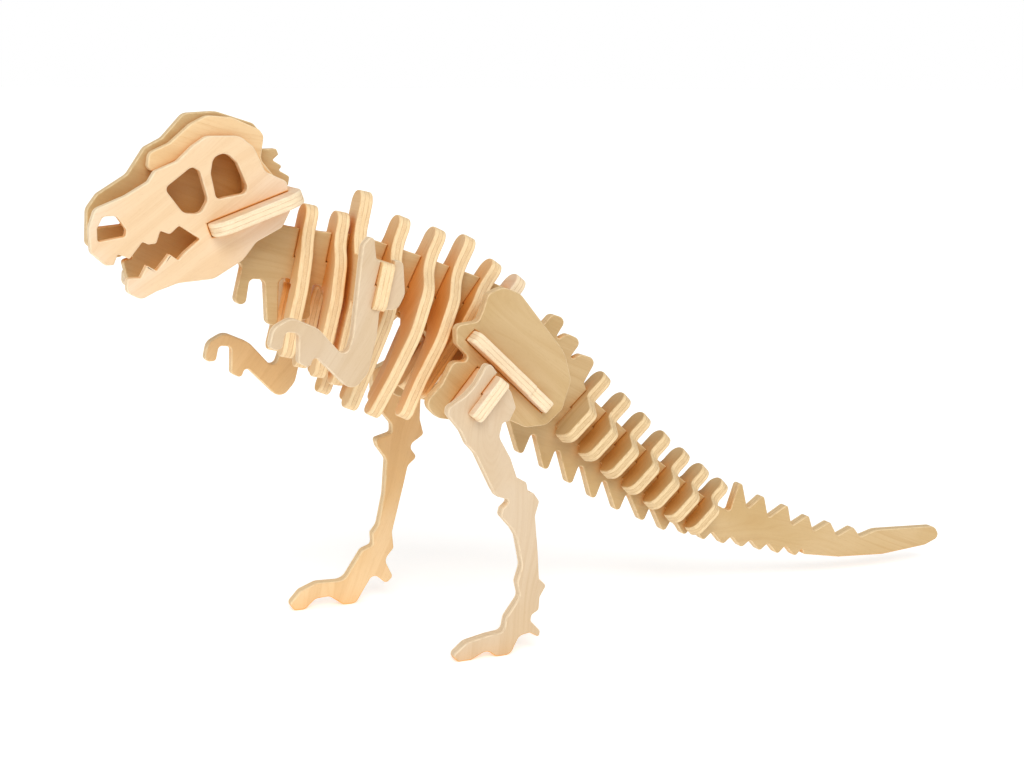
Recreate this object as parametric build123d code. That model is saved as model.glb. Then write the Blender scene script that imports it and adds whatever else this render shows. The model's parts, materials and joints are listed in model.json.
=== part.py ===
from build123d import *
import math
import os

# Slot-together plywood skeleton of a standing Tyrannosaurus.
# Millimetres. X runs from the snout (-) to the tail tip (+), Y from the left side (-) to the right (+), Z up.
# Every piece is one flat plate. Side plates lie parallel to XZ, and cross plates contain the Y direction.

PLY = 3.0                     # plate thickness
SLOT = PLY + 0.2              # width of a slot that holds a plate
PLAY = 0.1                    # gap at a slot's closed end, and where two crossing slots meet
OPEN_END = 40.0               # slots that run out of a plate's edge are cut this long
SKULL_PITCH = 3.5             # spacing of the skull's layers
RIGHT_SKULL_BACK = 2.0        # the right skull plate sits this much further back than the left one
ARM_Y = 22.5                  # arm plates, from the middle
LEG_Y = 24.5                  # leg plates, from the middle
ILIUM_Y = 14.0                # hip bones, from the middle
CHEEK_TILT = 20.0             # slope of the cheek plate, up towards the back
PELVIS_TILT = -43.5           # slope of the pelvis plate, down towards the tail
SHOULDER = 3                  # which rib carries the arms
RIGHT_ARM_DROP = 9.9          # the right arm hangs this much lower
RIGHT_ARM_REACH = 0.7         # and its forearm reaches this much further forward


# ---- drawing helpers -------------------------------------------------------------------------------------

def unit(tilt):
    """Direction in the XZ plane that leans from +Z towards +X by tilt degrees."""
    return math.sin(math.radians(tilt)), math.cos(math.radians(tilt))


def rounded(corners):
    """Face from corners (x, y, radius): straight runs joined by tangent arcs, radius 0 for a sharp corner."""
    points = [Vector(x, y) for x, y, _ in corners]
    count = len(points)
    starts, ends, arcs = [], [], []
    for i, (x, y, radius) in enumerate(corners):
        here = points[i]
        back = points[i - 1] - here
        ahead = points[(i + 1) % count] - here
        half = math.radians(back.get_angle(ahead)) / 2
        reach = radius / math.tan(half) if 0.02 < half < 1.55 else 0.0
        reach = min(reach, 0.48 * back.length, 0.48 * ahead.length)
        if reach < 0.05:
            starts.append(here)
            ends.append(here)
            arcs.append(None)
            continue
        enter = here + back.normalized() * reach
        leave = here + ahead.normalized() * reach
        bisector = (back.normalized() + ahead.normalized()).normalized()
        true_radius = reach * math.tan(half)
        middle = here + bisector * (true_radius / math.sin(half) - true_radius)
        starts.append(enter)
        ends.append(leave)
        arcs.append(Edge.make_three_point_arc(enter, middle, leave))
    edges = []
    for i in range(count):
        if arcs[i] is not None:
            edges.append(arcs[i])
        leave, enter = ends[i], starts[(i + 1) % count]
        if (enter - leave).length > 0.01:
            edges.append(Edge.make_line(leave, enter))
    return Face(Wire(edges))


def both_sides(half_outline):
    """Closed outline from its right half, listed from the top middle to the bottom middle."""
    mirrored = [(-x, y, r) for x, y, r in reversed(half_outline)]
    return half_outline + mirrored


def box_face(x0, y0, x1, y1):
    return Pos((x0 + x1) / 2, (y0 + y1) / 2) * Rectangle(x1 - x0, y1 - y0).face()


def side_plate(face, y):
    """Plate parallel to XZ, centred on y, from a face drawn with its x as X and its y as Z."""
    plane = Plane(origin=(0, y, 0), x_dir=(1, 0, 0), z_dir=(0, -1, 0))
    return plane * extrude(face, amount=PLY / 2, both=True)


def cross_plate(face, seat, tilt):
    """Plate that contains Y: a face drawn with its x as Y and its y up the plate, seated at (x, z)."""
    up_x, up_z = unit(tilt)
    plane = Plane(origin=(seat[0], 0, seat[1]), x_dir=(0, 1, 0), z_dir=(up_z, 0, -up_x))
    return plane * extrude(face, amount=PLY / 2, both=True)


def slot_face(seat, tilt, low, high, width=SLOT):
    """Slot in a side plate along a cross plate's line, from low to high along that line."""
    strip = box_face(-width / 2, low, width / 2, high)
    return Pos(seat[0], seat[1]) * Rot(0, 0, -tilt) * strip


def spikes(tips, valleys, tip_radius, valley_radius):
    """Corners of a row of spikes: valley, tip, valley, tip and so on."""
    corners = []
    for (tip_x, tip_z), (low_x, low_z) in zip(tips, valleys):
        corners.append((low_x, low_z, valley_radius))
        corners.append((tip_x, tip_z, tip_radius))
    return corners


# ---- stations of the cross plates ------------------------------------------------------------------------

# Each rib: top of its finger (x, z), lean, reach of the finger down to its seat, half width, tip depth, tip y.
RIBS = [
    dict(top=(-49.8, 101.3), tilt=13.0, finger=12.0, half=7.2, depth=22.0, tip=5.2),
    dict(top=(-42.5, 99.5), tilt=13.0, finger=11.7, half=9.6, depth=25.2, tip=6.6),
    dict(top=(-37.1, 104.0), tilt=13.0, finger=17.2, half=10.5, depth=26.2, tip=7.6),
    dict(top=(-27.9, 98.0), tilt=22.0, finger=14.3, half=14.0, depth=30.4, tip=9.8),
    dict(top=(-19.2, 95.0), tilt=26.0, finger=15.2, half=14.0, depth=30.0, tip=8.6),
    dict(top=(-11.8, 93.0), tilt=27.0, finger=16.3, half=12.0, depth=28.0, tip=9.7),
    dict(top=(-5.0, 86.9), tilt=36.0, finger=12.6, half=7.4, depth=24.0, tip=4.6),
]
HIP = dict(top=(1.3, 83.0), tilt=40.0, finger=14.0)
TAIL_COUNT = 7
TAIL_FIRST = (24.5, 58.1)     # finger top of the first tail plate
TAIL_STEP = (5.68, -4.95)
TAIL_SAG = 1.2                # how far the middle of the row hangs below a straight line
TAIL_TILT = 47.0


def seat_of(station):
    up_x, up_z = unit(station["tilt"])
    top_x, top_z = station["top"]
    return top_x - station["finger"] * up_x, top_z - station["finger"] * up_z


def tail_station(k):
    """Tail plates shrink evenly from the first to the last."""
    share = k / (TAIL_COUNT - 1)
    sag = 4 * TAIL_SAG * share * (1 - share)
    top = (TAIL_FIRST[0] + k * TAIL_STEP[0], TAIL_FIRST[1] + k * TAIL_STEP[1] - sag)
    return dict(top=top, tilt=TAIL_TILT, finger=12.1 - 3.0 * share, half=9.6 - 2.6 * share,
                lobe=8.6 - 0.8 * share)


TAIL = [tail_station(k) for k in range(TAIL_COUNT)]

# The pelvis and cheek plates' lines: distances run along them from their front ends.
PELVIS_FRONT = (-17.5, 72.5)
PELVIS_LENGTH = 26.0
PELVIS_RECESS = 9.8           # its middle is cut back this far for the hip plate
PELVIS_STEP = 7.0             # its rear corners are notched this far from the end
PELVIS_HALF = 19.5
PELVIS_SHANK = 9.6            # half width of the recess
CHEEK_FRONT = (-74.5, 97.0)
CHEEK_LENGTH = 21.2
CHEEK_HALF = 14.0
TONGUE = (11.6, 16.4)         # the crowns' tongues, along the cheek plate


def along(start, slope, distance):
    angle = math.radians(slope)
    return start[0] + distance * math.cos(angle), start[1] + distance * math.sin(angle)


def line_slot(start, slope, begin, end, width=SLOT):
    """Slot in a side plate along a sloping cross plate, from begin to end along its line."""
    strip = box_face(begin, -width / 2, end, width / 2)
    return Pos(start[0], start[1]) * Rot(0, 0, slope) * strip


SHOULDER_LOBE = (-7.0, 3.4)   # the shoulder plate's side lobes, measured up from its seat
SHOULDER_HALF = 25.6
SHOULDER_LAP = -1.8           # where the lobes' and the arms' slots meet
HIP_LOBE = (-21.3, -10.7)     # the hip plate's side lobes, measured up from its seat
HIP_LAP = -16.0               # where the lobes' and the legs' slots meet
HIP_HALF = 29.0
# Upper end of both legs, from the rear of the slot to the front.
HIP_END = [(-12.4, 54.4, 1), (-10.8, 57.4, 1), (-12.0, 61.0, 1), (-17.4, 68.2, 1), (-20.4, 63.2, 3),
           (-22.8, 60.8, 3)]


# ---- side plates -----------------------------------------------------------------------------------------

def backbone():
    head_top = [
        (-99.3, 94.0, 1.5), (-98.9, 101.5, 2.5), (-96.6, 104.6, 2), (-90.2, 108.6, 3), (-86.4, 114.2, 2),
        (-82.6, 116.2, 2), (-77.8, 121.4, 2.5), (-71.0, 121.8, 4), (-62.8, 119.2, 2), (-60.6, 116.6, 1.5),
        (-61.8, 113.6, 0.4), (-57.7, 113.7, 0.5), (-57.2, 112.4, 0.4), (-58.6, 111.2, 0.3),
        (-56.4, 109.9, 0.5), (-57.2, 109.0, 0.3), (-54.8, 107.6, 0.5), (-55.2, 105.2, 0.8),
        (-57.5, 103.8, 0.5), (-57.8, 97.4, 2), (-54.6, 96.6, 2),
    ]
    back_top = [
        (-47, 95.2, 6), (-38.5, 94.2, 8), (-26, 89.8, 10), (-10, 83.8, 10), (-1.5, 80.2, 6),
    ]
    big_spikes = [
        (6.4, 71.0, 0.8), (9.4, 74.0, 1.6), (13.2, 72.6, 1.6), (9.6, 67.2, 0.8), (13.6, 69.0, 1.6),
        (17.4, 67.2, 1.6), (13.4, 62.2, 0.8), (17.2, 63.8, 1.6), (21.4, 62.4, 1.6), (18.0, 56.8, 0.8),
    ]
    ridge = [(19.4, 53.6, 2), (38, 36.6, 20), (54.6, 23.6, 6)]
    small_spikes = spikes(
        tips=[(63.2, 29.4), (70.2, 24.1), (77.6, 20.8), (84.2, 17.3), (91.0, 14.8), (98.4, 12.6)],
        valleys=[(60.2, 20.6), (65.4, 20.6), (71.8, 17.6), (79.0, 14.8), (85.8, 12.6), (93.4, 10.6)],
        tip_radius=0.7, valley_radius=0.7)
    tip = [(100.8, 9.6, 1), (106, 11.0, 6), (125.0, 10.1, 2.2), (126.8, 7.0, 2.0), (122, 5.2, 3), (108, 4.1, 8),
           (94, 4.9, 3), (83, 6.8, 1)]
    under = spikes(
        tips=[(80.4, 6.4), (75.0, 7.6), (69.5, 9.1), (64.0, 10.6), (58.4, 12.0), (52.6, 13.6), (47.0, 15.4),
              (41.0, 16.7), (34.9, 19.6), (27.8, 22.7), (21.0, 26.1), (14.6, 30.3), (8.0, 34.3), (1.4, 39.1)],
        valleys=[(82.6, 8.6), (77.4, 9.8), (72.0, 11.0), (66.6, 12.4), (61.0, 14.0), (55.2, 15.8),
                 (49.4, 18.0), (43.6, 20.8), (37.2, 24.6), (30.6, 28.8), (24.0, 33.2), (17.6, 37.8),
                 (11.2, 42.2), (4.8, 46.6)], tip_radius=0.9, valley_radius=0.8)
    belly = [(-2.4, 51.0, 2), (-9, 54.0, 4), (-18, 62.4, 3), (-23, 71.6, 4), (-33, 77.0, 6), (-41, 79.6, 4),
             (-44.4, 80.6, 1), (-46.0, 78.6, 1.2), (-48.0, 83.4, 1)]
    neck = [(-50.0, 83.6, 1.2), (-50.6, 75.6, 1.3), (-53.2, 75.8, 1.3), (-54.2, 85.0, 1.4), (-57.6, 85.4, 1.4),
            (-57.9, 74.8, 1.3), (-60.5, 75.0, 1.3), (-60.8, 85.1, 1.4), (-64.2, 85.4, 1.2),
            (-65.2, 79.6, 1.3), (-67.8, 80.2, 1.3), (-65.4, 90.2, 2)]
    jaw = [(-70.0, 87.6, 2), (-76, 86.2, 3), (-83, 85.4, 3), (-90.8, 86.0, 1.5), (-91.8, 90.4, 0.8),
           (-89.6, 91.0, 0.3), (-90.0, 92.0, 0.3), (-92.4, 91.2, 0.6), (-94.2, 91.0, 0.8)]
    face = rounded(head_top + back_top + big_spikes + ridge + small_spikes + tip + under + belly + neck + jaw)
    for station in RIBS + [HIP] + TAIL:
        face -= slot_face(seat_of(station), station["tilt"], -PLAY / 2, OPEN_END)
    face -= line_slot(CHEEK_FRONT, CHEEK_TILT, CHEEK_LENGTH / 2, OPEN_END)
    face -= line_slot(PELVIS_FRONT, PELVIS_TILT, PELVIS_RECESS - PLAY, PELVIS_LENGTH + PLAY)
    face -= rounded([(-97.6, 97.5, 0.4), (-97.2, 100.6, 1.2), (-92.6, 100.8, 1.2), (-91.2, 98.1, 0.5)])
    return side_plate(face, 0.0)


def skull(side, set_back=0.0):
    """Outer skull plate with its teeth; set_back moves its outline, but not its slot, towards the tail."""
    profile = rounded([
        (-98.4, 102.0, 2), (-92, 104.6, 4), (-87.2, 107.4, 1.2), (-85.8, 109.6, 1.2), (-81, 111.6, 3),
        (-77.6, 114.8, 3), (-74.6, 116.8, 2.5), (-67.6, 116.8, 3), (-64.6, 114.4, 1.5), (-62.2, 109.2, 2),
        (-57.4, 107.0, 1.6), (-56.6, 101.0, 2), (-58.6, 97.2, 2), (-64.4, 94.2, 3), (-67.4, 90.4, 4),
        (-73.8, 86.6, 4), (-81.5, 86.0, 6), (-86.2, 84.4, 2), (-89.4, 82.8, 2), (-92.4, 84.4, 1.4),
        (-92.2, 87.4, 0.6), (-89.4, 87.4, 0.3), (-88.0, 90.0, 0.2), (-86.0, 88.8, 0.2), (-84.4, 90.7, 0.2),
        (-83.2, 92.2, 0.2), (-81.4, 90.9, 0.2), (-80.2, 92.2, 0.2), (-76.6, 95.2, 0.3), (-81.0, 98.2, 0.6),
        (-83.0, 96.4, 0.8), (-85.0, 97.2, 0.3), (-85.9, 94.6, 0.6), (-87.6, 94.4, 0.5), (-88.8, 95.0, 0.4),
        (-90.4, 93.0, 0.3), (-91.6, 91.5, 0.4), (-94.0, 92.6, 0.3), (-94.9, 90.3, 0.6), (-96.6, 90.3, 0.6),
        (-99.6, 93.0, 1.5), (-99.8, 98.0, 4),
    ])
    front_window = rounded([(-83.9, 106.0, 1.2), (-78.0, 110.5, 1.4), (-76.4, 109.6, 1.2), (-74.7, 103.4, 2.2),
                            (-76.4, 100.5, 2.0), (-80.0, 100.7, 2.4)])
    rear_window = rounded([(-74.0, 109.0, 1.4), (-73.4, 112.4, 2.2), (-70.6, 113.4, 2.2), (-68.3, 111.2, 2.2),
                           (-65.6, 104.8, 1.5), (-70.8, 103.9, 1.4), (-72.9, 103.4, 1.1)])
    nostril = rounded([(-98.1, 95.2, 0.5), (-98.1, 98.0, 1.2), (-96.8, 100.5, 1.2), (-94.0, 100.5, 1.4),
                       (-92.1, 97.6, 0.8), (-92.3, 96.2, 0.6)])
    face = Pos(set_back, 0) * (profile - front_window - rear_window - nostril)
    face -= line_slot(CHEEK_FRONT, CHEEK_TILT, -PLAY, OPEN_END)
    return side_plate(face, side * 2 * SKULL_PITCH)


def crown(side):
    """Stepped brow and crown. A tongue on its lower edge drops into the cheek plate."""
    low_x, low_z = along(CHEEK_FRONT, CHEEK_TILT, TONGUE[0])
    high_x, high_z = along(CHEEK_FRONT, CHEEK_TILT, TONGUE[1])
    up_x, up_z = unit(-CHEEK_TILT)
    root = 4.0
    face = rounded([
        (-86.8, 108.6, 1.5), (-86.2, 113.2, 2), (-81.8, 115.2, 3), (-77.2, 119.2, 2.5), (-73.6, 121.0, 3),
        (-68.4, 120.6, 4), (-62.4, 118.0, 2), (-61.4, 116.6, 1.5), (-62.2, 111.6, 2), (-58.8, 107.4, 2),
        (-58.6, 104.6, 0.4), (-62.2, 103.2, 0.4), (-65.6, 102.2, 1), (-66.4, 111.0, 4), (-71, 115.2, 4),
        (-77.4, 113.0, 4),
    ])
    tongue = rounded([
        (low_x + up_x * root, low_z + up_z * root, 0),
        (high_x + up_x * root, high_z + up_z * root, 0),
        (high_x - up_x * PLY / 2, high_z - up_z * PLY / 2, 0.4),
        (low_x - up_x * PLY / 2, low_z - up_z * PLY / 2, 0.4),
    ])
    face -= line_slot(CHEEK_FRONT, CHEEK_TILT, -OPEN_END, OPEN_END)
    return side_plate(face + tongue, side * SKULL_PITCH)


def arm(side, drop=0.0, reach=0.0):
    """Arm with a hooked two-fingered hand.

    drop lengthens the upper arm down the shoulder plate's line, and reach moves the forearm forwards.
    """
    shoulder = RIBS[SHOULDER - 1]
    lean_x, lean_z = unit(shoulder["tilt"])
    dx, dz = -drop * lean_x - reach, -drop * lean_z
    forearm = [
        (-42.6, 75.0, 6), (-44.6, 67.0, 4), (-48.2, 63.0, 3), (-56.6, 71.6, 2), (-57.6, 68.8, 0.9),
        (-60.0, 70.0, 0.9), (-59.8, 76.4, 1.1), (-62.8, 76.8, 1.0), (-63.6, 73.2, 0.9), (-66.4, 73.2, 1.1),
        (-65.4, 77.7, 3), (-61.4, 79.8, 3), (-55.6, 77.2, 5), (-49.6, 70.4, 1.6), (-48.0, 75.0, 6),
    ]
    top = [
        (-46.4, 88.0, 6), (-45.6, 94.4, 2), (-43.2, 97.0, 0.8), (-42.6, 91.0, 1), (-36.6, 90.8, 1.2),
        (-36.2, 83.6, 3), (-38.0, 80.2, 2), (-42.0, 80.6, 1),
    ]
    face = rounded([(x + dx, z + dz, r) for x, z, r in forearm] + top)
    face -= slot_face(seat_of(shoulder), shoulder["tilt"], SHOULDER_LAP - PLAY / 2, OPEN_END)
    return side_plate(face, side * ARM_Y)


def leg_left():
    foot = [
        (-9.2, 13.4, 2), (-12.6, 8.8, 2), (-13.2, 5.6, 1.5), (-17.2, 5.2, 3), (-22.4, 4.2, 3), (-25.6, 1.6, 1.2),
        (-24.6, 0.0, 1.0), (-21.2, 0.0, 2), (-17.4, 1.8, 2), (-15.2, 0.0, 1.5), (-11.6, 0.0, 2), (-9.4, 4.2, 2),
        (-6.8, 4.6, 1), (-4.4, 3.2, 0.8), (-4.2, 4.8, 0.8), (-6.6, 7.4, 1),
    ]
    back = [
        (-6.4, 8.8, 1), (-4.6, 9.8, 1), (-4.4, 12.8, 1), (-2.8, 15.4, 0.8), (-4.6, 17.2, 1), (-5.0, 23.4, 8),
        (-5.8, 32.0, 2), (-4.8, 35.4, 1), (-6.2, 37.4, 1), (-7.6, 37.8, 0.8), (-8.0, 40.0, 1), (-10.4, 41.4, 1),
        (-12.0, 46.0, 4), (-14.8, 51.0, 2), (-14.0, 54.2, 1),
    ]
    front = [
        (-26.8, 58.4, 1), (-27.0, 56.8, 1), (-23.8, 52.8, 3), (-22.4, 49.8, 2), (-20.4, 47.6, 3),
        (-16.4, 39.4, 4), (-15.2, 37.4, 1), (-11.6, 36.2, 0.8), (-13.8, 34.4, 0.8), (-14.2, 32.8, 1),
        (-11.4, 29.6, 2), (-10.2, 27.6, 3), (-8.8, 20.6, 4), (-10.0, 16.8, 1.5),
    ]
    return side_plate(rounded(HIP_END + front + foot + back) - leg_slot(), -LEG_Y)


def leg_right():
    """The right leg steps forward: the knee and ankle are drawn ahead of the left one's."""
    foot = [
        (-30.2, 13.4, 1.5), (-35.0, 6.2, 3), (-42.0, 6.4, 3), (-46.2, 4.8, 2), (-49.0, 1.8, 1.2),
        (-47.8, 0.0, 1.0), (-45.2, 0.0, 1.5), (-42.4, 2.4, 2), (-38.8, 2.6, 2), (-35.2, 0.0, 2), (-32.0, 0.0, 2),
        (-30.4, 2.6, 2), (-27.4, 7.2, 1.5), (-24.0, 4.2, 1), (-22.2, 5.8, 1), (-24.4, 10.4, 2),
    ]
    back = [
        (-22.0, 13.2, 1), (-22.4, 17.4, 2), (-19.4, 29.0, 8), (-18.2, 34.0, 2), (-15.8, 36.0, 1),
        (-18.0, 39.0, 1.5), (-14.0, 41.6, 1), (-15.0, 45.6, 2), (-14.8, 50.6, 2), (-14.0, 54.2, 1),
    ]
    front = [
        (-27.6, 58.6, 2), (-27.2, 50.8, 3), (-22.4, 44.8, 1.5), (-22.4, 42.6, 0.8), (-26.8, 41.4, 0.8),
        (-26.2, 39.4, 1), (-23.8, 36.0, 2), (-24.4, 27.2, 6), (-26.0, 19.4, 3), (-27.6, 17.4, 1),
        (-27.4, 14.4, 1),
    ]
    return side_plate(rounded(HIP_END + front + foot + back) - leg_slot(), LEG_Y)


def leg_slot():
    return slot_face(seat_of(HIP), HIP["tilt"], HIP_LAP - PLAY / 2, 5.0)


def ilium(side):
    """Leaf-shaped hip bone, with one slot for the pelvis plate and one for the hip plate."""
    face = rounded([
        (-21.0, 74.8, 1.5), (-15.6, 75.4, 1.5), (-14.4, 78.0, 2), (-13.2, 81.6, 1.8), (-9.4, 83.0, 3),
        (-5.2, 81.2, 4), (6.0, 67.2, 9), (7.8, 60.6, 4), (5.6, 53.8, 2.5), (1.6, 50.4, 3), (-3.6, 50.2, 3),
        (-9.0, 52.8, 4), (-15.0, 52.0, 3), (-25.2, 54.0, 2.5), (-28.6, 57.4, 2.5), (-24.4, 61.6, 3),
        (-21.6, 66.6, 1.8), (-17.0, 66.4, 1.0), (-20.8, 70.6, 0.8),
    ])
    face -= line_slot(PELVIS_FRONT, PELVIS_TILT, -PLAY, PELVIS_LENGTH + PLAY)
    face -= slot_face(seat_of(HIP), HIP["tilt"], HIP_LOBE[0] - PLAY, HIP_LOBE[1] + PLAY)
    return side_plate(face, side * ILIUM_Y)


# ---- cross plates ----------------------------------------------------------------------------------------

def finger_slot():
    """Slot open downwards from a cross plate's seat, which straddles the backbone."""
    return box_face(-SLOT / 2, -OPEN_END, SLOT / 2, PLAY / 2)


def rib(number):
    """Arch-shaped rib: a finger above the backbone and two curved prongs below it, drawn about its seat."""
    station = RIBS[number - 1]
    finger, half, depth, tip = (station[key] for key in ("finger", "half", "depth", "tip"))
    face = rounded(both_sides([
        (3.2, finger, 2.9), (3.4, 0.44 * finger, 8), (0.76 * half, 0.08 * finger, 8),
        (half, -0.30 * depth, 12), (0.93 * half, -0.66 * depth, 16), (tip + 2.2, -depth, 2.0),
        (tip - 2.2, -depth, 2.0), (half - 5.0, -0.62 * depth, 14), (0.8 * half - 3.6, -0.34 * depth, 6),
        (3.0, -6.0, 2.4),
    ]))
    if number == SHOULDER:
        for side in (-1, 1):
            low, high = SHOULDER_LOBE
            lobe = rounded([(side * 4.0, high, 0), (side * SHOULDER_HALF, high, 1.2),
                            (side * SHOULDER_HALF, low, 1.6), (side * 8.0, low, 0)])
            lap = box_face(side * ARM_Y - SLOT / 2, low - 1, side * ARM_Y + SLOT / 2, SHOULDER_LAP + PLAY / 2)
            face += lobe - lap
    face -= finger_slot()
    return cross_plate(face, seat_of(station), station["tilt"])


def hip_plate():
    """Finger above the backbone, and side lobes that the legs hang on."""
    low, high = HIP_LOBE
    face = rounded(both_sides([
        (3.2, HIP["finger"], 2.9), (3.4, 5.6, 6), (8.6, 1.0, 3), (8.8, high, 1.0), (HIP_HALF, high, 1.0),
        (HIP_HALF, low, 1.2), (7.0, low, 3), (3.4, low + 6, 3), (3.0, -6.0, 1.5),
    ]))
    for side in (-1, 1):
        face -= box_face(side * LEG_Y - SLOT / 2, low - 1, side * LEG_Y + SLOT / 2, HIP_LAP + PLAY / 2)
    face -= finger_slot()
    return cross_plate(face, seat_of(HIP), HIP["tilt"])


def tail_plate(station):
    finger, half, lobe = (station[key] for key in ("finger", "half", "lobe"))
    face = rounded(both_sides([
        (2.9, finger, 2.6), (2.9, 0.40 * finger, 2.0), (half, 1.6, 2.2), (half, 1.6 - lobe, 2.4),
        (0.45 * half, 0.4 - lobe, 2.0), (0.3 * half, 2.6 - lobe, 1.0),
    ]))
    face -= finger_slot()
    return cross_plate(face, seat_of(station), station["tilt"])


def pelvis_plate():
    """Drawn with y along its line from its front end. Its middle stops short of the hip plate."""
    step = PELVIS_LENGTH - PELVIS_STEP
    face = rounded(both_sides([
        (PELVIS_SHANK, PELVIS_RECESS, 0.6), (PELVIS_SHANK, 0.0, 1.0), (PELVIS_HALF, 0.0, 1.5),
        (PELVIS_HALF, step, 0.5), (PELVIS_HALF - 0.8, step + 0.6, 0.5),
        (PELVIS_HALF - 0.8, PELVIS_LENGTH, 1.5),
    ]))
    return cross_plate(face, PELVIS_FRONT, 90 - PELVIS_TILT)


def cheek_plate():
    """Drawn with y along its line from its front end."""
    face = rounded(both_sides([(CHEEK_HALF, 0.0, 4.5), (CHEEK_HALF, CHEEK_LENGTH, 4.5)]))
    face -= box_face(-SLOT / 2, -1.0, SLOT / 2, CHEEK_LENGTH / 2 + PLAY / 2)
    for side in (-1, 1):
        middle = side * SKULL_PITCH
        face -= box_face(middle - SLOT / 2, TONGUE[0] - PLAY, middle + SLOT / 2, TONGUE[1] + PLAY)
    return cross_plate(face, CHEEK_FRONT, 90 - CHEEK_TILT)


# ---- assembly --------------------------------------------------------------------------------------------

def pieces():
    made = dict(
        backbone=backbone(), skull_left=skull(-1), skull_right=skull(1, RIGHT_SKULL_BACK),
        crown_left=crown(-1), crown_right=crown(1), cheek_plate=cheek_plate(), hip_plate=hip_plate(),
        pelvis_plate=pelvis_plate(), ilium_left=ilium(-1), ilium_right=ilium(1), arm_left=arm(-1),
        arm_right=arm(1, RIGHT_ARM_DROP, RIGHT_ARM_REACH), leg_left=leg_left(), leg_right=leg_right(),
    )
    for number in range(1, len(RIBS) + 1):
        made[f"rib_{number}"] = rib(number)
    for k, station in enumerate(TAIL):
        made[f"tail_plate_{k + 1}"] = tail_plate(station)
    return made


def main():
    made = pieces()
    whole = Compound([shape for shape in made.values()]).bounding_box()
    to_origin = Pos(-(whole.min.X + whole.max.X) / 2, -(whole.min.Y + whole.max.Y) / 2, -whole.min.Z)
    os.makedirs("parts", exist_ok=True)
    for name, shape in made.items():
        export_step(to_origin * shape, f"parts/{name}.step")


main()
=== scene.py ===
"""Looks of a slot-together plywood dinosaur skeleton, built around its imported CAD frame."""
import json
import math

import bpy
import numpy as np
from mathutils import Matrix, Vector


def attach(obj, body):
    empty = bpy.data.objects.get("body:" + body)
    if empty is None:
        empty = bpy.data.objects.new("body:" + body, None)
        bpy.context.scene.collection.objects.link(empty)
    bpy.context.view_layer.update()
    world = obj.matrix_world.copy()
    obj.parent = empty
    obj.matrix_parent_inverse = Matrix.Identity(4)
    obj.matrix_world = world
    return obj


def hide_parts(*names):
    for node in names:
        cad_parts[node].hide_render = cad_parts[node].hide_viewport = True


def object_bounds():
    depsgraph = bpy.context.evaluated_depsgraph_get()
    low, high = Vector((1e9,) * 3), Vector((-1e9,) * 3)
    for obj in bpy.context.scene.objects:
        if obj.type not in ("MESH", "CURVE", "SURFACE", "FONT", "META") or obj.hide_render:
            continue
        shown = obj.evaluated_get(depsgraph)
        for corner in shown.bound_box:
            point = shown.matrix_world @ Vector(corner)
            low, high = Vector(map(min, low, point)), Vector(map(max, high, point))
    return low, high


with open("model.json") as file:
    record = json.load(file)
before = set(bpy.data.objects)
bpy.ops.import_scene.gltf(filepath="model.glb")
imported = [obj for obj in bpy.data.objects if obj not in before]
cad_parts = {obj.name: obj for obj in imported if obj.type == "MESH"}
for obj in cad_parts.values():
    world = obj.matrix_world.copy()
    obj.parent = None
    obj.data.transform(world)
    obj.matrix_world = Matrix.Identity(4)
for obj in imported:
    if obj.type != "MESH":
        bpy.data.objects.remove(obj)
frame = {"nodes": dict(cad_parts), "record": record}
cad_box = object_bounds()

MM = 0.001
EDGE_ROUND = 0.4 * MM          # sanded corner between a plate's face and its cut edge
ROUND_STEPS = (0, 30, 60, 90)  # degrees round that corner, from the face to the cut edge
SMOOTH_TURN = math.cos(math.radians(40))
CORE_HALF = 0.5                # half of the middle ply, in millimetres like all of the material
SAME_PLACE = 1e-7              # vertices this close are one
TINY = 1e-12


# ---- plates ----------------------------------------------------------------------------------------------

def welded(mesh):
    """Vertices with the copies at sharp edges joined, and the triangles that use them."""
    co = np.array([v.co for v in mesh.vertices], float)
    cells = np.round(co / SAME_PLACE).astype(np.int64)
    _, first, back = np.unique(cells, axis=0, return_index=True, return_inverse=True)
    triangles = [[int(back[i]) for i in p.vertices] for p in mesh.polygons]
    return co[first], [t for t in triangles if len(set(t)) == len(t)]


def flat_side(co, triangles):
    """The unit normal that most of the surface faces: the plate's own normal, on its positive side."""
    areas = {}
    for a, b, c in triangles:
        area = np.cross(co[b] - co[a], co[c] - co[a])
        size = np.linalg.norm(area)
        if size < TINY:
            continue
        way = area / size
        if way[np.argmax(np.abs(way))] < 0:
            way = -way
        key = tuple(np.round(way, 3))
        total = areas.setdefault(key, np.zeros(3))
        total += way * size
    best = max(areas.values(), key=np.linalg.norm)
    return best / np.linalg.norm(best)


def unit(vector):
    return vector / max(np.linalg.norm(vector), TINY)


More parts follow.
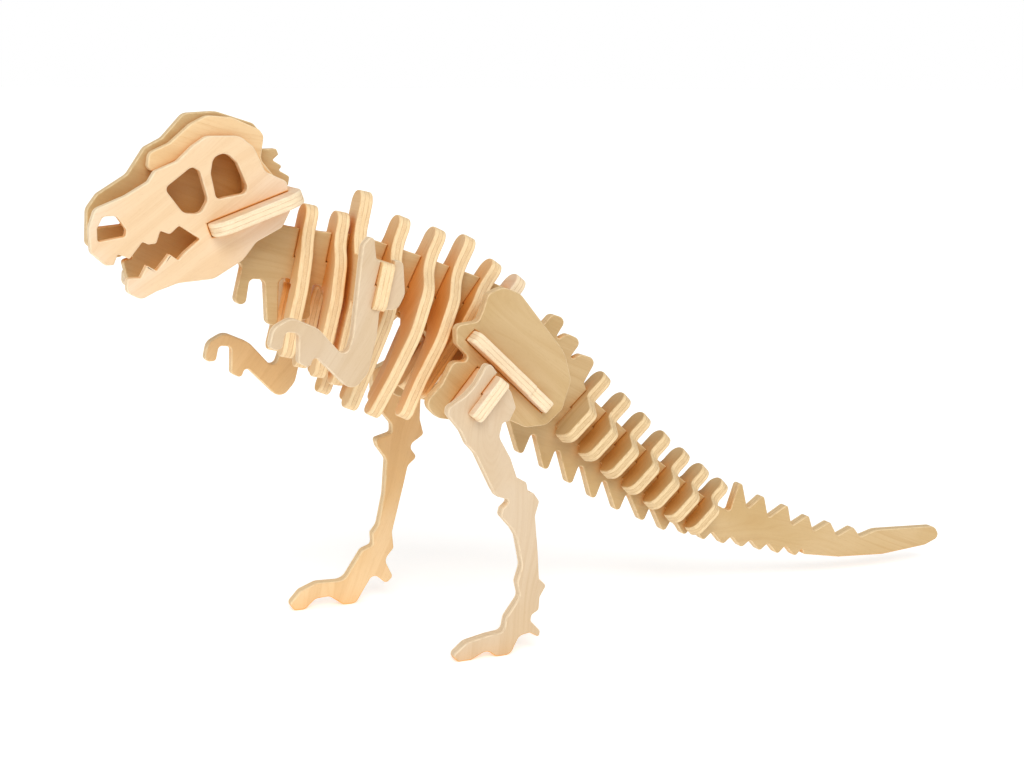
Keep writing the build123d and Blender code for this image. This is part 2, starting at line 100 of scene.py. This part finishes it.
def rounded_plate(node, name):
    """The plate again, with the same outline and thickness and with its face corners rounded over."""
    co, triangles = welded(frame["nodes"][node].data)
    normal = flat_side(co, triangles)
    height = co @ normal
    top, low = height.max(), height.min()
    cap = [t for t in triangles if all(abs(height[i] - top) < 1e-6 for i in t)]
    edges = {(t[k], t[(k + 1) % 3]) for t in cap for k in range(3)}
    rim = sorted(e for e in edges if (e[1], e[0]) not in edges)
    after = dict(rim)
    before = {b: a for a, b in rim}
    points = sorted(after)
    inner = sorted({i for t in cap for i in t} - set(points))

    outward, inset, radius = {}, {}, {}
    for a, b in rim:
        outward[a, b] = unit(np.cross(co[b] - co[a], normal))
    for i in points:
        one, two = outward[before[i], i], outward[i, after[i]]
        inset[i] = -(one + two) / max(1 + one @ two, 0.5)
        bend = math.acos(max(-1, min(1, one @ two))) / 2
        shortest = min(np.linalg.norm(co[i] - co[before[i]]), np.linalg.norm(co[i] - co[after[i]]))
        convex = np.cross(one, two) @ normal > 0
        radius[i] = min(EDGE_ROUND, 0.45 * shortest / max(math.tan(bend), 1e-6)) if convex else EDGE_ROUND

    rings = [(math.radians(a), 1) for a in ROUND_STEPS]
    rings += [(math.radians(a), -1) for a in reversed(ROUND_STEPS)]
    at, vertices = {}, []
    for j, (angle, side) in enumerate(rings):
        for i in points:
            level = top if side > 0 else low
            drop = side * radius[i] * (1 - math.cos(angle))
            flat = co[i] - normal * height[i] + inset[i] * radius[i] * (1 - math.sin(angle))
            at[i, j] = len(vertices)
            vertices.append(flat + normal * (level - drop))
    for i in inner:
        for j, level in ((0, top), (len(rings) - 1, low)):
            at[i, j] = len(vertices)
            vertices.append(co[i] + normal * (level - height[i]))

    faces, normals = [], []
    for a, b, c in cap:
        faces.append([at[a, 0], at[b, 0], at[c, 0]])
        faces.append([at[c, len(rings) - 1], at[b, len(rings) - 1], at[a, len(rings) - 1]])
        normals += [normal] * 3 + [-normal] * 3
    for a, b in rim:
        here = outward[a, b]
        start, end = outward[before[a], a], outward[b, after[b]]
        at_a = unit(here + start) if here @ start > SMOOTH_TURN else here
        at_b = unit(here + end) if here @ end > SMOOTH_TURN else here
        for j in range(len(rings) - 1):
            faces.append([at[a, j + 1], at[b, j + 1], at[b, j], at[a, j]])
            for i, k in ((at_a, j + 1), (at_b, j + 1), (at_b, j), (at_a, j)):
                angle, side = rings[k]
                normals.append(i * math.sin(angle) + normal * side * math.cos(angle))

    mesh = bpy.data.meshes.new(name)
    mesh.from_pydata([tuple(v) for v in vertices], [], faces)
    mesh.polygons.foreach_set("use_smooth", [True] * len(faces))
    mesh.normals_split_custom_set([tuple(v) for v in normals])
    mesh.update()
    plate = bpy.data.objects.new(name, mesh)
    bpy.context.scene.collection.objects.link(plate)
    return plate, normal, (top + low) / 2


def grain_way(plate, normal, turn):
    """The direction of the face veneer's grain: the plate's long way, turned by a few degrees."""
    co = np.array([v.co for v in plate.data.vertices], float)
    co -= co.mean(0)
    co -= np.outer(co @ normal, normal)
    values, ways = np.linalg.eigh(co.T @ co)
    long_way = unit(ways[:, 2] - normal * (ways[:, 2] @ normal))
    across = np.cross(normal, long_way)
    turn = math.radians(turn)
    return long_way * math.cos(turn) + across * math.sin(turn)


# ---- plywood ---------------------------------------------------------------------------------------------

class Nodes:
    """Short names for building a shader tree."""

    def __init__(self, name):
        self.material = bpy.data.materials.new(name)
        self.material.use_nodes = True
        self.tree = self.material.node_tree
        self.tree.nodes.clear()

    def add(self, kind, inputs=(), **settings):
        node = self.tree.nodes.new(kind)
        for key, value in settings.items():
            setattr(node, key, value)
        for key, value in dict(inputs).items():
            self.set(node.inputs[key], value)
        return node

    def set(self, socket, value):
        if isinstance(value, bpy.types.NodeSocket):
            self.tree.links.new(value, socket)
        else:
            socket.default_value = value

    def math(self, operation, *values, clamp=False):
        return self.add("ShaderNodeMath", enumerate(values), operation=operation, use_clamp=clamp).outputs[0]

    def dot(self, vector, way):
        inputs = {0: vector, 1: tuple(way)}
        return self.add("ShaderNodeVectorMath", inputs, operation="DOT_PRODUCT").outputs["Value"]

    def vector(self, x, y, z):
        return self.add("ShaderNodeCombineXYZ", {0: x, 1: y, 2: z}).outputs[0]

    def noise(self, vector, scale, detail=2.0, rough=0.5):
        inputs = {"Vector": vector, "Scale": scale, "Detail": detail, "Roughness": rough}
        return self.add("ShaderNodeTexNoise", inputs).outputs["Fac"]

    def stretched(self, x, x_scale, y, y_scale, z, detail=2.0, rough=0.5):
        """Noise drawn out along x and y by their own scales."""
        where = self.vector(self.math("MULTIPLY", x, x_scale), self.math("MULTIPLY", y, y_scale), z)
        return self.noise(where, 1.0, detail, rough)

    def step(self, value, low, high, to_low=0.0, to_high=1.0):
        """value mapped smoothly from low..high to to_low..to_high."""
        inputs = {"Value": value, "From Min": low, "From Max": high, "To Min": to_low, "To Max": to_high}
        return self.add("ShaderNodeMapRange", inputs, interpolation_type="SMOOTHSTEP").outputs["Result"]

    def mix(self, factor, one, two, blend="MIX"):
        node = self.add("ShaderNodeMix", data_type="RGBA", blend_type=blend)
        self.set(node.inputs["Factor"], factor)
        self.set(node.inputs["A"], one if isinstance(one, bpy.types.NodeSocket) else (*one, 1))
        self.set(node.inputs["B"], two if isinstance(two, bpy.types.NodeSocket) else (*two, 1))
        return next(o for o in node.outputs if o.type == "RGBA")


def linear(red, green, blue):
    """A colour given as 0 to 255 screen values, in the linear values that shaders take."""
    values = []
    for c in (red, green, blue):
        c /= 255
        values.append(c / 12.92 if c <= 0.04045 else ((c + 0.055) / 1.055) ** 2.4)
    return tuple(values)


def plywood(name, normal, middle, grain, tone, seed):
    """Three-ply board: figured veneer on its faces, cut edges with a cross-grain core and glue lines, and
    painted shade in its hollows.
    """
    n = Nodes(name)
    across = np.cross(normal, grain)
    place = n.add("ShaderNodeTexCoord")
    outward = place.outputs["Normal"]
    scaled = n.add("ShaderNodeVectorMath", {0: place.outputs["Object"], "Scale": 1 / MM}, operation="SCALE")
    position = scaled.outputs[0]
    along = n.dot(position, grain)
    side = n.dot(position, across)
    deep = n.math("SUBTRACT", n.dot(position, normal), middle / MM)
    facing = n.math("ABSOLUTE", n.dot(outward, normal))
    face = n.step(facing, 0.72, 0.97)
    cut = n.step(facing, 0.15, 0.45, 1.0, 0.0)

    # face veneer: broad figure, streaks and short pores that run with the grain, and soft patches of colour
    warp = n.stretched(along, 0.012, side, 0.05, seed)
    bent = n.math("ADD", side, n.math("MULTIPLY", warp, 26.0))
    rings = n.stretched(along, 0.01, bent, 0.38, seed + 3.1, 3.0, 0.55)
    streaks = n.stretched(along, 0.09, bent, 2.6, seed + 7.7, 3.0, 0.6)
    pores = n.stretched(along, 0.9, side, 9.0, seed + 1.9, 1.0)
    patch = n.stretched(along, 0.035, side, 0.06, seed + 5.3)
    ring_line = n.step(rings, 0.46, 0.60)
    pore_line = n.step(pores, 0.62, 0.72)
    veneer = n.mix(n.step(patch, 0.36, 0.66), tone["pale"], tone["warm"])
    veneer = n.mix(n.math("MULTIPLY", ring_line, 0.26), veneer, tone["figure"])
    veneer = n.mix(n.math("MULTIPLY", n.step(streaks, 0.45, 0.70), 0.20), veneer, tone["figure"])
    veneer = n.mix(n.math("MULTIPLY", pore_line, 0.16), veneer, tone["pore"])

    # cut edge: the core's grain runs across the faces', so where one shows its side the other shows its ends
    from_middle = n.math("ABSOLUTE", deep)
    core = n.step(from_middle, CORE_HALF - 0.03, CORE_HALF + 0.03, 1.0, 0.0)
    outer = n.math("SUBTRACT", 1.0, core)
    ends_along = n.math("ABSOLUTE", n.dot(outward, grain))
    ends_across = n.math("ABSOLUTE", n.dot(outward, across))
    ends = n.math("ADD", n.math("MULTIPLY", core, ends_across), n.math("MULTIPLY", outer, ends_along))
    end_grain = n.step(ends, 0.45, 0.85)
    fibres = n.stretched(along, 0.5, side, 0.5, n.math("MULTIPLY", deep, 7.0), 3.0, 0.6)
    open_ends = n.noise(position, 5.5, 2.0, 0.6)
    edge = n.mix(n.step(fibres, 0.35, 0.70, 0.0, 0.55), tone["edge"], tone["warm"])
    edge = n.mix(n.math("MULTIPLY", core, 0.16), edge, tone["figure"])
    speckle = n.step(open_ends, 0.42, 0.68, 0.04, 0.28)
    edge = n.mix(n.math("MULTIPLY", end_grain, speckle), edge, tone["pore"])
    wander = n.noise(position, 0.35, 2.0)
    glue_line = n.math("ADD", CORE_HALF - 0.08, n.math("MULTIPLY", wander, 0.16))
    glue_off = n.math("ABSOLUTE", n.math("SUBTRACT", from_middle, glue_line))
    glue = n.step(glue_off, 0.03, 0.13, 1.0, 0.0)
    edge = n.mix(n.math("MULTIPLY", glue, n.step(wander, 0.30, 0.62, 0.10, 0.42)), edge, tone["glue"])

    # the rounded corner between them is sanded through to clean pale wood
    colour = n.mix(cut, veneer, edge)
    between = n.math("MULTIPLY", n.math("SUBTRACT", 1.0, face), n.math("SUBTRACT", 1.0, cut))
    wear = n.step(n.noise(position, 0.8, 2.0), 0.30, 0.60, 0.25, 0.75)
    colour = n.mix(n.math("MULTIPLY", between, wear), colour, tone["edge"])

    # painted shade: deep in the slots and between the plates, where little light reaches, the wood is
    # painted darker and warmer
    occlusion = n.add("ShaderNodeAmbientOcclusion", {"Distance": PAINTED_SHADE_REACH}, samples=8)
    painted_shade = n.step(occlusion.outputs["AO"], 0.10, 0.76, 0.80, 0.0)
    colour = n.mix(painted_shade, colour, PAINTED_SHADE_TINT, "MULTIPLY")

    relief = n.math("ADD", n.math("MULTIPLY", streaks, 0.5), n.math("MULTIPLY", pore_line, -0.35))
    edge_relief = n.math("ADD", n.math("MULTIPLY", fibres, 0.8), n.math("MULTIPLY", glue, -0.9))
    end_relief = n.math("MULTIPLY", n.math("MULTIPLY", open_ends, end_grain), 0.8)
    edge_relief = n.math("ADD", edge_relief, end_relief)
    relief = n.math("ADD", n.math("MULTIPLY", relief, face), n.math("MULTIPLY", edge_relief, cut))
    bump = n.add("ShaderNodeBump", {"Strength": 0.35, "Distance": 0.12 * MM, "Height": relief}).outputs[0]
    roughness = n.math("ADD", n.step(streaks, 0.30, 0.70, 0.50, 0.62), n.math("MULTIPLY", cut, 0.14))
    wood = n.add("ShaderNodeBsdfPrincipled", {
        "Base Color": colour, "Roughness": roughness, "Normal": bump, "Specular IOR Level": 0.32,
    })
    n.add("ShaderNodeOutputMaterial", {"Surface": wood.outputs[0]})
    return n.material


PAINTED_SHADE_TINT = linear(255, 190, 12)   # tint of the shade painted into occluded wood
# how far the painted shade looks for nearby wood
PAINTED_SHADE_REACH = 11 * MM
CREAM = {
    "pale": linear(240, 216, 190), "warm": linear(236, 206, 167), "figure": linear(222, 182, 134),
    "pore": linear(196, 148, 98), "edge": linear(252, 234, 200), "glue": linear(182, 130, 78),
}
STRAW = {
    "pale": linear(206, 177, 131), "warm": linear(198, 166, 115), "figure": linear(184, 146, 93),
    "pore": linear(162, 120, 72), "edge": linear(242, 215, 170), "glue": linear(164, 114, 62),
}
HONEY = {
    "pale": linear(236, 203, 156), "warm": linear(230, 191, 136), "figure": linear(213, 168, 112),
    "pore": linear(188, 136, 82), "edge": linear(251, 226, 182), "glue": linear(174, 118, 64),
}
BISQUE = {
    "pale": linear(216, 194, 165), "warm": linear(211, 185, 150), "figure": linear(198, 168, 130),
    "pore": linear(178, 140, 98), "edge": linear(246, 226, 194), "glue": linear(172, 126, 76),
}
TONES = {   # the tail plates are STRAW and every other piece is HONEY
    "skull_left": CREAM, "skull_right": CREAM, "cheek_plate": CREAM, "crown_left": HONEY,
    "crown_right": STRAW, "backbone": STRAW, "arm_left": BISQUE, "arm_right": HONEY, "leg_left": BISQUE,
    "leg_right": HONEY, "ilium_left": STRAW, "ilium_right": STRAW, "hip_plate": CREAM, "pelvis_plate": CREAM,
}


node_bodies = {n: b for b, members in frame["record"]["behaviour"]["bodies"].items() for n in members}
for number, node in enumerate(sorted(frame["nodes"])):
    plate, normal, middle = rounded_plate(node, node + "_board")
    grain = grain_way(plate, normal, (number * 37) % 24 - 12)   # its own turn, within 12 degrees
    tone = TONES.get(node, STRAW if node.startswith("tail") else HONEY)
    seed = 11.3 * (number + 1)
    plate.data.materials.append(plywood(node + "_plywood", normal, middle, grain, tone, seed))
    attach(plate, node_bodies[node])
    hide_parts(node)


# ---- floor, light and camera -----------------------------------------------------------------------------

def look(thing, target):
    thing.rotation_euler = (thing.location - Vector(target)).to_track_quat("Z", "Y").to_euler()


def soft_light(name, direction, strength, spread):
    """Even light from one direction, as from a large soft box; spread is its width in degrees."""
    light = bpy.data.lights.new(name, "SUN")
    light.energy = strength
    light.angle = math.radians(spread)
    lamp = bpy.data.objects.new(name, light)
    lamp.location = direction
    look(lamp, (0, 0, 0))
    bpy.context.scene.collection.objects.link(lamp)


FLOOR_HALF = 8.0
floor_mesh = bpy.data.meshes.new("floor")
corners = [(x * FLOOR_HALF, y * FLOOR_HALF, 0) for x, y in ((-1, -1), (1, -1), (1, 1), (-1, 1))]
floor_mesh.from_pydata(corners, [], [(0, 1, 2, 3)])
floor = bpy.data.objects.new("floor", floor_mesh)
floor.location.z = cad_box[0][2] - 0.02 * MM
bpy.context.scene.collection.objects.link(floor)
floor_nodes = Nodes("white_floor")
paint = floor_nodes.add("ShaderNodeBsdfPrincipled", {
    "Base Color": (0.92, 0.92, 0.92, 1), "Roughness": 0.9,
    "Emission Color": (1, 1, 1, 1), "Emission Strength": 0.4,
})
floor_nodes.add("ShaderNodeOutputMaterial", {"Surface": paint.outputs[0]})
floor_mesh.materials.append(floor_nodes.material)

# the camera sees a white backdrop, and everything else is lit by a softer dome
DOME = 0.56
world = bpy.data.worlds.new("studio")
world.use_nodes = True
tree = world.node_tree
backdrop, dome = tree.nodes["Background"], tree.nodes.new("ShaderNodeBackground")
backdrop.inputs["Color"].default_value = (1, 1, 1, 1)
backdrop.inputs["Strength"].default_value = 1.0
dome.inputs["Color"].default_value = (1, 0.99, 0.97, 1)
dome.inputs["Strength"].default_value = DOME
seen, pick = tree.nodes.new("ShaderNodeLightPath"), tree.nodes.new("ShaderNodeMixShader")
tree.links.new(seen.outputs["Is Camera Ray"], pick.inputs[0])
tree.links.new(dome.outputs[0], pick.inputs[1])
tree.links.new(backdrop.outputs[0], pick.inputs[2])
tree.links.new(pick.outputs[0], tree.nodes["World Output"].inputs["Surface"])
bpy.context.scene.world = world

soft_light("key", (-0.30, -1.0, 0.95), 1.5, 38)

CENTRE = (-0.0136, 0.0, 0.0575)   # what the camera looks at
camera_data = bpy.data.cameras.new("camera")
camera_data.sensor_width = 36
camera_data.lens = 60.05
camera = bpy.data.objects.new("camera", camera_data)
AZIMUTH = math.radians(-23.9)
ELEVATION = math.radians(10.6)
ROLL = math.radians(0.58)
DISTANCE = 0.4063
level = math.cos(ELEVATION)
back = Vector((math.sin(AZIMUTH) * level, -math.cos(AZIMUTH) * level, math.sin(ELEVATION)))
camera.location = Vector(CENTRE) + back * DISTANCE
look(camera, CENTRE)
camera.rotation_euler.rotate_axis("Z", ROLL)
bpy.context.scene.collection.objects.link(camera)
bpy.context.scene.camera = camera
bpy.context.scene.view_settings.view_transform = "Standard"
